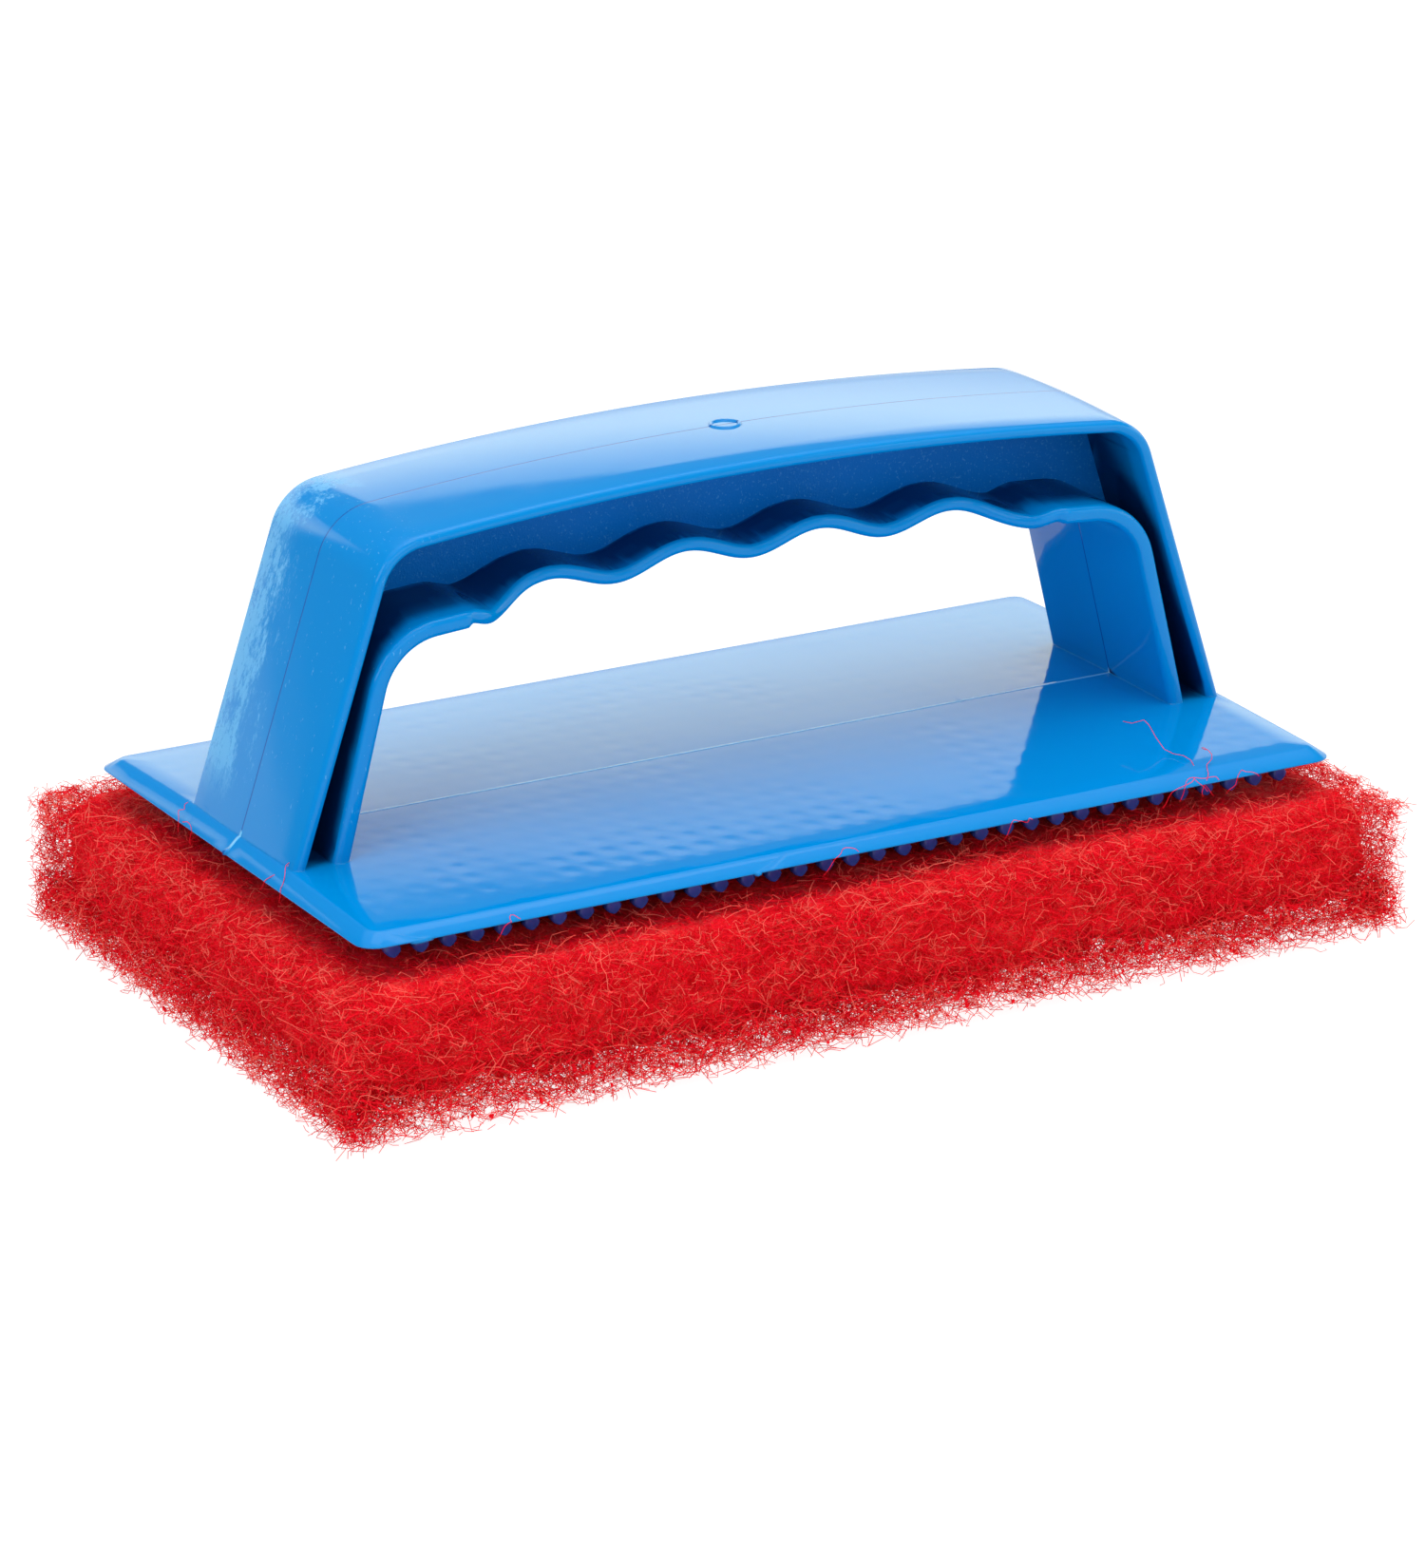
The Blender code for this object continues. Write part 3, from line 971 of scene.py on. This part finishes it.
def fibre_tree():
    nodes = NodeTree("lofty_fibres")
    defaults = {
        "Density": 4.0e5, "Seed": 1, "Depth": 3.4 * MM, "Length": 4.4 * MM, "Radius": 0.053 * MM,
        "Tilt": 0.35, "Half length": PAD_HALF_X, "Half width": PAD_HALF_Y, "Height": PAD_TOP,
        "Plate half length": PLATE_HALF_X, "Plate half width": PLATE_HALF_Y, "Fringe": 1.2 * MM,
        "Thinning": 3.0 * MM,
    }  # fmt: skip
    for name, default in defaults.items():
        nodes.value(name, default)
    seed = nodes.given("Seed")
    scattered = nodes.scattered()
    sink = nodes.add("FunctionNodeRandomValue", {2: 0.0, 3: nodes.given("Depth"), "Seed": seed},
                     data_type="FLOAT").outputs[1]  # fmt: skip
    inward = nodes.scale(scattered["Normal"], nodes.times(sink, -1))
    sunk = nodes.add("GeometryNodeSetPosition", {0: scattered["Points"], "Offset": inward})
    half = nodes.times(nodes.given("Length"), 0.5)
    line = nodes.add(
        "GeometryNodeCurvePrimitiveLine",
        {"Start": nodes.combine(nodes.times(half, -1)), "End": nodes.combine(half)},
    )
    parts = nodes.add(
        "GeometryNodeResampleCurve", {"Curve": line.outputs[0], "Count": POINTS_A_FIBRE}
    )
    lean = nodes.given("Tilt")
    back = nodes.times(lean, -1)
    turns = {0: nodes.combine(back, back), 1: nodes.combine(lean, lean, 2 * math.pi)}
    turn = nodes.add("FunctionNodeRandomValue", {**turns, "Seed": seed}, data_type="FLOAT_VECTOR")
    laid = nodes.add(
        "GeometryNodeInstanceOnPoints",
        {"Points": sunk.outputs[0], "Instance": parts.outputs[0], "Rotation": turn.outputs[0]},
    )
    real = nodes.add("GeometryNodeRealizeInstances", {0: laid.outputs[0]})
    # One random vector and one random number for each thread.
    own = nodes.add("FunctionNodeRandomValue", {1: (40, 40, 40), "Seed": seed},
                    data_type="FLOAT_VECTOR").outputs[0]  # fmt: skip
    own_all = nodes.each_curve(own, "FLOAT_VECTOR")
    luck_all = nodes.each_curve(nodes.random(nodes.plus(seed, 7)))
    tinted = nodes.add(
        "GeometryNodeStoreNamedAttribute",
        {0: real.outputs[0], "Name": "fibre_tint", "Value": luck_all},
        data_type="FLOAT", domain="CURVE",
    )  # fmt: skip
    place = nodes.add("GeometryNodeInputPosition").outputs[0]
    bends = []
    for size, reach in ((3.6 * MM, 3.0 * MM), (1.3 * MM, 1.7 * MM)):
        spot = nodes.vector("ADD", nodes.scale(place, 1 / size), own_all)
        wild = nodes.add("ShaderNodeTexNoise", {"Vector": spot, "Scale": 1.0, "Detail": 0.0})
        centred = nodes.vector("SUBTRACT", wild.outputs["Color"], (0.5, 0.5, 0.5))
        bends.append(nodes.scale(centred, 2 * reach))
    bent = nodes.add(
        "GeometryNodeSetPosition", {0: tinted.outputs[0], "Offset": nodes.vector("ADD", *bends)}
    )
    x, y, z = nodes.add("ShaderNodeSeparateXYZ", {0: place}).outputs
    far_x, far_y = nodes.math("ABSOLUTE", x), nodes.math("ABSOLUTE", y)
    # Each thread has its own limit, so the web thins out towards the pad's faces.
    chance = nodes.each_curve(nodes.random(nodes.plus(seed, 13)))
    longer = nodes.times(nodes.given("Fringe"), nodes.math("POWER", luck_all, 6.0))
    shorter = nodes.times(nodes.math("POWER", chance, 2.0), nodes.given("Thinning"))
    spare = nodes.minus(longer, shorter)
    edge_x = nodes.minus(nodes.given("Half length"), far_x)
    edge_y = nodes.minus(nodes.given("Half width"), far_y)
    out_x = nodes.math("LESS_THAN", nodes.plus(edge_x, spare), 0.0)
    out_y = nodes.math("LESS_THAN", nodes.plus(edge_y, spare), 0.0)
    lowest = nodes.math("MULTIPLY_ADD", nodes.math("POWER", chance, 1.3), 4.6 * MM, 0.2 * MM)
    out_low = nodes.math("LESS_THAN", z, lowest)
    past_x = nodes.minus(far_x, nodes.given("Plate half length"))
    past_y = nodes.minus(far_y, nodes.given("Plate half width"))
    past = nodes.math("MAXIMUM", past_x, past_y)
    press = nodes.fade(past, 5 * MM, 1.2 * MM)
    droop = nodes.fade(nodes.math("MINIMUM", edge_x, edge_y), 7 * MM, 3.0 * MM)
    above = nodes.times(nodes.math("POWER", luck_all, 3.0), 1.2 * MM)
    ceiling = nodes.minus(nodes.plus(nodes.given("Height"), above), droop)
    ceiling = nodes.minus(ceiling, press)
    out_high = nodes.math("GREATER_THAN", z, ceiling)
    outside = nodes.math("MAXIMUM", nodes.math("MAXIMUM", out_x, out_y),
                         nodes.math("MAXIMUM", out_low, out_high))  # fmt: skip
    trimmed = nodes.add(
        "GeometryNodeDeleteGeometry", {0: bent.outputs[0], "Selection": outside}, domain="POINT"
    )
    thin = nodes.math("MULTIPLY_ADD", luck_all, 0.6, 0.65)
    sized = nodes.add("GeometryNodeSetCurveRadius", {0: trimmed.outputs[0], "Radius": thin})
    circle = {"Resolution": SIDES_A_FIBRE, "Radius": nodes.given("Radius")}
    skin = nodes.add("GeometryNodeCurvePrimitiveCircle", circle, mode="RADIUS")
    tubes = nodes.add(
        "GeometryNodeCurveToMesh",
        {0: sized.outputs[0], 1: skin.outputs[0], "Fill Caps": True},
    )
    soft = nodes.add("GeometryNodeSetShadeSmooth", {0: tubes.outputs[0]})
    nodes.finish(soft.outputs[0], fibre_red)
    return nodes


fibres = fibre_tree()
print("fibre tree nodes", len(fibres.tree.nodes))


# %% Faces of the pad that carry the fibres
HEM_LOW = 2 * MM
HEM_HIGH = 8 * MM


def face_sheet(name, quads):
    """Flat faces to scatter fibres on, their normals pointing out of the pad."""
    bm = bmesh.new()
    for corners in quads:
        bm.faces.new([bm.verts.new(c) for c in corners])
    bm.normal_update()
    mesh = bpy.data.meshes.new(name)
    bm.to_mesh(mesh)
    bm.free()
    return mesh


def level_quad(x0, y0, x1, y1, z):
    return ((x0, y0, z), (x1, y0, z), (x1, y1, z), (x0, y1, z))


def upright_quads(x, y, low, high):
    """Four upright faces round a box: front, back, left and right."""
    corners = {"front": ((-x, -y), (x, -y)), "back": ((x, y), (-x, y)),
               "left": ((-x, y), (-x, -y)), "right": ((x, -y), (x, y))}  # fmt: skip
    return {side: ((*a, low), (*b, low), (*b, high), (*a, high))
            for side, (a, b) in corners.items()}  # fmt: skip


def pad_sheets():
    """The pad's faces, each pulled in a little. The rim is a ring, seen round the plate."""
    x, y, low, high = PAD_HALF_X - 0.8 * MM, PAD_HALF_Y - 0.8 * MM, 0.6 * MM, PAD_TOP - 0.3 * MM
    hole_x, hole_y = PLATE_HALF_X - 6 * MM, PLATE_HALF_Y - 6 * MM
    return {
        **{side: [quad] for side, quad in upright_quads(x, y, low, high).items()},
        "rim": [
            level_quad(-x, -y, x, -hole_y, high), level_quad(-x, hole_y, x, y, high),
            level_quad(-x, -hole_y, -hole_x, hole_y, high),
            level_quad(hole_x, -hole_y, x, hole_y, high),
        ],
        "middle": [level_quad(-hole_x, -hole_y, hole_x, hole_y, high - 1.2 * MM)],
        "under": [((-x, y, low), (x, y, low), (x, -y, low), (-x, -y, low))],
        "hem": list(upright_quads(x, y, HEM_LOW, HEM_HIGH).values()),
    }  # fmt: skip


FIBRES_A_PIECE = 4800
PIECES_A_FACE = {"front": 2, "back": 2, "left": 1, "right": 1, "rim": 2, "middle": 1,
                 "under": 1, "hem": 2}  # fmt: skip
fibre_pieces = []
for order, (side, quads) in enumerate(pad_sheets().items()):
    sheet = face_sheet(side, quads)
    area = sum(face.area for face in sheet.polygons)
    for layer in range(PIECES_A_FACE[side]):
        values = {"Density": FIBRES_A_PIECE / area, "Seed": 10 * order + layer + 1}
        values["Tilt"] = 0.35 if side in ("rim", "middle", "under") else 0.55
        if side == "hem":
            values.update({"Depth": 7.0 * MM, "Length": 5.2 * MM, "Radius": 0.06 * MM})
        piece = baked(f"pad_fibres_{side}_{layer + 1}", sheet, fibres, values, fibre_red)
        fibre_pieces.append(piece)
        print(piece.name, triangles(piece), "triangles")


# %% [markdown]
# ## Knots and clinging fibres
# Here and there the resin dried as a small knot on the fibres, most often low in the web. And a
# few torn fibres cling to the holder's edge and curl over it. The knots repeat, so Geometry
# Nodes scatter them. The clinging fibres are few and each has its own path, so they are curves.

# %% Knots
def knot_tree():
    nodes = NodeTree("resin_knots")
    nodes.value("Density", 1.0e5)
    nodes.value("Seed", 5)
    nodes.value("Depth", 5 * MM)
    nodes.value("Size", 0.34 * MM)
    spots = nodes.scattered()
    deep = nodes.times(nodes.times(nodes.random(3), nodes.given("Depth")), -1)
    inward = nodes.scale(spots["Normal"], deep)
    sunk = nodes.add("GeometryNodeSetPosition", {0: spots["Points"], "Offset": inward})
    ball = nodes.add("GeometryNodeMeshIcoSphere", {"Radius": nodes.given("Size")})
    scale = nodes.math("MULTIPLY_ADD", nodes.math("POWER", nodes.random(9), 3.0), 1.5, 0.35)
    turn = nodes.add("FunctionNodeRandomValue", {1: (6.28, 6.28, 6.28), "Seed": 4},
                     data_type="FLOAT_VECTOR")  # fmt: skip
    flat = nodes.combine(scale, *(nodes.times(scale, part) for part in (0.7, 0.5)))
    copies = nodes.add(
        "GeometryNodeInstanceOnPoints",
        {"Points": sunk.outputs[0], "Instance": ball.outputs[0], "Rotation": turn.outputs[0],
         "Scale": flat},
    )  # fmt: skip
    nodes.finish(copies.outputs[0], fibre_red)
    return nodes


hem_sheet = face_sheet("hem_knots", pad_sheets()["hem"])
knots = baked("pad_knots", hem_sheet, knot_tree(), {"Density": 4.0e5, "Depth": 5 * MM}, fibre_red)
tints = knots.data.attributes.new("fibre_tint", "FLOAT", "POINT")
tints.data.foreach_set("value", [0.1] * len(knots.data.vertices))
print("knots", triangles(knots), "triangles")


# %% Clinging fibres
# noise_vector draws its offsets from the clock unless a seed is set.
CURL_SEED = 11
noise.seed_set(CURL_SEED)


def curl(start, end, rise, wander, seed, steps=14):
    """A path from start to end that arches up and wanders a little."""
    start, end = Vector(start) * MM, Vector(end) * MM
    for k in range(steps + 1):
        t = k / steps
        shift = noise.noise_vector(Vector((t * 3.1, seed * 7.7, 0.5))) * wander * MM
        arch_up = Vector((0, 0, 4 * t * (1 - t) * rise * MM))
        yield start.lerp(end, t) + arch_up + shift * (t * (1 - t) * 4)


def fibre_curves(name, paths, radius, material):
    curve = bpy.data.curves.new(name, "CURVE")
    curve.dimensions = "3D"
    curve.bevel_depth = radius
    curve.bevel_resolution = 1
    curve.use_fill_caps = True
    for path in paths:
        points = list(path)
        spline = curve.splines.new("POLY")
        spline.points.add(len(points) - 1)
        for point, place in zip(spline.points, points):
            point.co = (*place, 1)
    carrier = linked(name, curve)
    mesh = evaluated_mesh(carrier)
    bpy.data.objects.remove(carrier, do_unlink=True)
    bpy.data.curves.remove(curve)
    piece = linked(name, mesh)
    mesh.materials.clear()
    mesh.materials.append(material)
    mesh.attributes.new("fibre_tint", "FLOAT", "POINT").data.foreach_set(
        "value", [0.15] * len(mesh.vertices)
    )
    return piece


EDGE_Y = -PLATE_HALF_Y / MM
EDGE_X = -PLATE_HALF_X / MM
TOP_Z = PLATE_TOP / MM
FRONT_CURLS = (
    (58, 53, 0.6, -4.2, -16.0, 3.0, 2.0, 3.5), (56, 61, 0.8, -4.0, -6.0, 0.3, 2.2, 3.0),
    (52, 59, 0.8, -4.0, 0.4, -2.0, 2.6, 2.5), (49, 57, 0.9, -4.4, 0.5, -3.4, 2.2, 2.5),
    (60, 66, 0.9, -4.2, 0.5, -2.6, 1.8, 2.0),
)
LEFT_CURLS = (
    (-12, -15, 0.5, -3.6, -3.5, 0.6, 1.0, 1.5), (-18, -14, 0.5, -3.6, -3.5, 0.6, 1.4, 1.5),
    (14, 15, 0.6, -3.4, -1.5, 0.4, 0.8, 1.0), (10, 13, 0.6, -4.0, 0.2, -1.6, 1.2, 1.0),
)
MORE_FRONT_CURLS = (
    (-8, -2, 0.8, -4.4, 0.4, -2.0, 1.6, 1.8), (22, 27, 0.8, -4.4, 0.4, -2.4, 1.4, 1.8),
    (-60, -56, 0.8, -4.4, 0.4, -2.0, 1.4, 1.5),
)


def edge_curls():
    """A path for each curl. A row says where it starts and ends along the edge, then how far
    outside the edge and how high from the plate's top each end is, then its rise and wander."""
    seed = 0
    for rows, front in ((FRONT_CURLS, True), (LEFT_CURLS, False), (MORE_FRONT_CURLS, True)):
        for a, b, out_a, up_a, out_b, up_b, rise, wander in rows:
            seed += 1
            ends = []
            for along, out, up in ((a, out_a, up_a), (b, out_b, up_b)):
                place = (along, EDGE_Y - out) if front else (EDGE_X - out, along)
                ends.append((*place, TOP_Z + up))
            yield curl(*ends, rise, wander, seed)


clinging = fibre_curves("clinging_fibres", edge_curls(), 0.045 * MM, fibre_red)
print("clinging fibres", triangles(clinging), "triangles")


# %% [markdown]
# ## Floor and light
# A plain pale floor that glows a little, as a lit table does, so the shadow stays faint and the
# loose fringe shows light through it. The room is brighter behind the object, low down, and that
# pale band is what the plate's top mirrors. Three large soft lamps give the edges their lines.

# %% Floor
def make_floor():
    bm = bmesh.new()
    bmesh.ops.create_grid(bm, x_segments=1, y_segments=1, size=6)
    finish = Finish("pale_floor")
    mottle = finish.remap(finish.noise(3, 2.0), 0.3, 0.7)
    colour = finish.mix(mottle, (0.19, 0.19, 0.19, 1), (0.21, 0.21, 0.21, 1))
    x, y, _ = finish.axes()
    away = finish.math("SQRT", finish.plus(finish.times(x, x), finish.times(y, y)))
    glow = finish.remap(away, 1.4, 2.4, 0.93, 0.28)
    paint = finish.set(
        Base_Color=colour, Roughness=1.0, Specular_IOR_Level=0.0,
        Emission_Color=(1, 1, 1, 1), Emission_Strength=glow,
    )  # fmt: skip
    return new_piece("floor", bm, paint)


floor = make_floor()
print("floor", floor.name)


# %% Room light
BACKDROP_SIDE = (0.872, 0.489, 0.0)
BACKDROP_WARM = (1, 0.97, 0.66, 1)
BACKDROP_STRENGTH = 2.5
CEILING_STRENGTH = 1.25
ROOM_STRENGTH = 0.26


def light_room():
    """A dim room with a soft ceiling and a lit backdrop, all in the world's shader."""
    world = bpy.data.worlds.new("bright_room")
    bpy.context.scene.world = world
    world.use_nodes = True
    tree = world.node_tree
    ground = tree.nodes["Background"]

    room = Graph(tree)
    way = tree.nodes.new("ShaderNodeTexCoord").outputs["Generated"]
    up = room.add("SeparateXYZ", {0: way}).outputs[2]
    # The backdrop's left end, as a plane through the object, and its lower and upper edges.
    side = room.add("VectorMath", {0: way, 1: BACKDROP_SIDE}, operation="DOT_PRODUCT")
    wide = room.remap(side.outputs["Value"], 0.0, 0.06)
    low = room.remap(up, 0.26, 0.42, 1.0, 0.40)
    under = room.remap(up, 0.392, 0.401, 1.0, 0.05)
    base = room.remap(up, 0.06, 0.29, 0.35, 1.0)
    ceiling = room.remap(up, 0.60, 0.90)
    backdrop = room.times(wide, room.times(room.times(low, under), base))
    warm = room.add("Mix", {0: backdrop, 6: (1, 1, 1, 1), 7: BACKDROP_WARM}, data_type="RGBA")
    strength = room.math("MULTIPLY_ADD", backdrop, BACKDROP_STRENGTH, ROOM_STRENGTH)
    strength = room.math("MULTIPLY_ADD", ceiling, CEILING_STRENGTH, strength)
    tree.links.new(warm.outputs[2], ground.inputs["Color"])
    tree.links.new(strength, ground.inputs["Strength"])


def add_lamp(name, place, size, watts):
    data = bpy.data.lights.new(name, "AREA")
    data.shape = "RECTANGLE"
    data.size, data.size_y = size
    data.energy = watts
    lamp = linked(name, data)
    lamp.location = place
    lamp.rotation_euler = (-Vector(place)).to_track_quat("-Z", "Y").to_euler()


light_room()
add_lamp("left_softbox", (-1.1, -0.5, 0.65), (0.8, 0.7), 5.0)
add_lamp("top_softbox", (0.1, -0.1, 1.3), (1.0, 0.8), 5.0)
add_lamp("front_softbox", (-0.1, -1.2, 0.5), (1.0, 0.6), 3.5)
bpy.context.scene.view_settings.view_transform = "Standard"
print("lights placed")

# %% [markdown]
# ## Handing over
# Each piece rides on a body of the frame: the shell and studs on the holder, the core and the
# fibres on the pad. The fine pieces stand in for the two CAD solids.

for piece in (holder_shell, studs):
    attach(piece, "holder")
for piece in (core, knots, *fibre_pieces):
    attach(piece, "pad")
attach(clinging, "holder")
everything = (holder_shell, studs, core, knots, clinging, *fibre_pieces)
print("all pieces", sum(triangles(piece) for piece in everything), "triangles")
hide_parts("holder")
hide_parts("pad")
